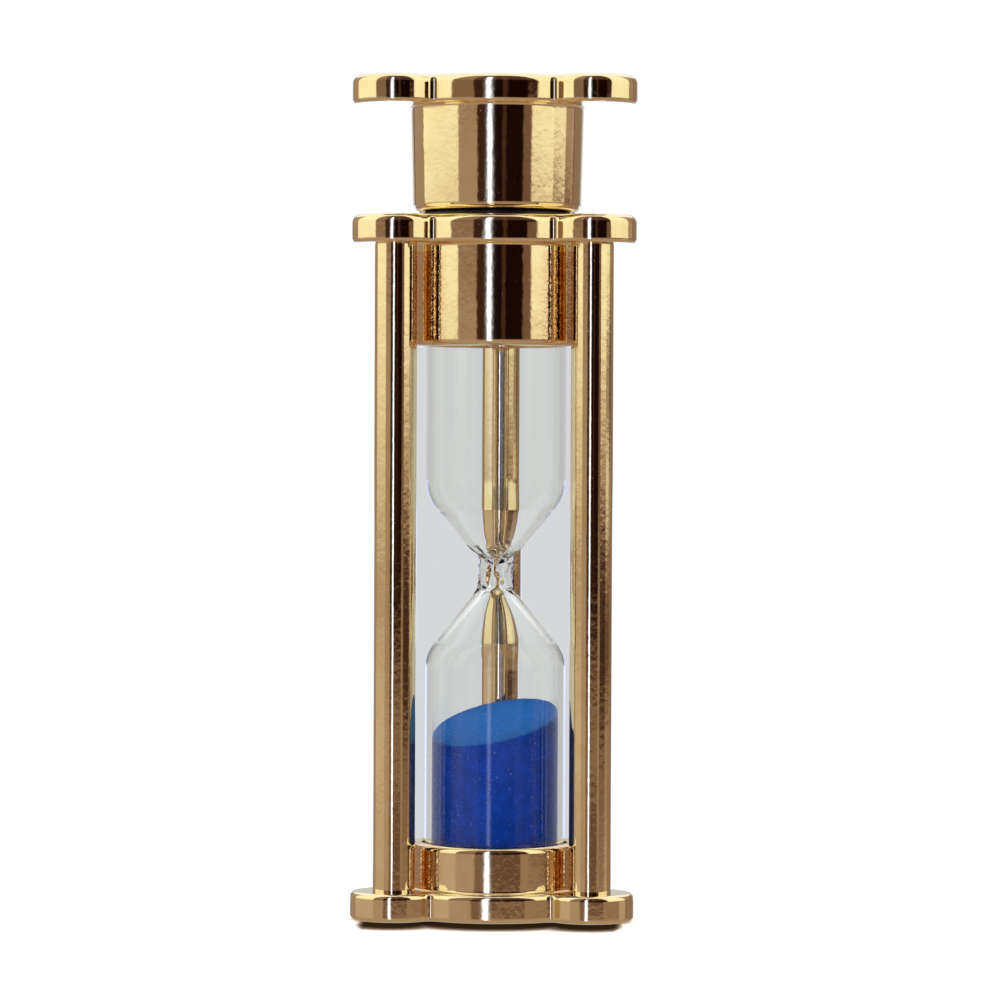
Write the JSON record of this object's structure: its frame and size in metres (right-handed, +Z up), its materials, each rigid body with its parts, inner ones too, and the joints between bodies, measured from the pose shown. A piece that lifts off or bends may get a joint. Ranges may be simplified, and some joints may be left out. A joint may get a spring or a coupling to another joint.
{
  "type": "hourglass",
  "caption": "Small sand glass in a polished three-pillar metal frame, with a lobed pull-off cap over a data plug in its top.",
  "frame": {"origin": "on the axis of the sand glass, in the plane that the base stands on", "axes": "+Z up along the glass; the rear pillar is on +Y; the front, with two pillars, faces -Y; the plug's wide side runs along X"},
  "size_m": [0.028, 0.0255, 0.0833],
  "materials": {
    "gold_plate": "polished pale gold plating over die-cast metal",
    "glass": "clear blown glass",
    "blue_sand": "fine dyed sand with a few bright grains",
    "rubber": "pale moulded rubber",
    "foam": "soft pale foam",
    "black_plastic": "satin black moulded plastic",
    "plug_steel": "nickel-plated folded sheet",
    "contact_gold": "gold flash",
    "board_green": "green solder mask",
    "chip_black": "moulded chip package",
    "screw_steel": "zinc-plated"
  },
  "bodies": {
    "hourglass": {"base_plate": "gold_plate", "top_plate": "gold_plate", "pillar_left": "gold_plate", "pillar_right": "gold_plate", "pillar_rear": "gold_plate", "base_screw_1": "screw_steel", "base_screw_2": "screw_steel", "base_screw_3": "screw_steel", "glass_bulb": "glass", "sand": "blue_sand", "fill_stopper": "rubber", "lower_cushion": "foam", "upper_cushion": "foam", "plug_holder": "black_plastic", "plug_shell": "plug_steel", "plug_tongue": "black_plastic", "plug_contact_1": "contact_gold", "plug_contact_2": "contact_gold", "plug_contact_3": "contact_gold", "plug_contact_4": "contact_gold", "circuit_board": "board_green", "memory_chip": "chip_black", "controller_chip": "chip_black", "clock_crystal": "plug_steel"},
    "cap": {"cap_shell": "gold_plate", "cap_liner": "black_plastic"}
  },
  "joints": [
    {"name": "cap_pull", "type": "slide", "parent": "hourglass", "child": "cap", "axis": [0, 0, 1], "range_m": [0, 0.018]}
  ]
}
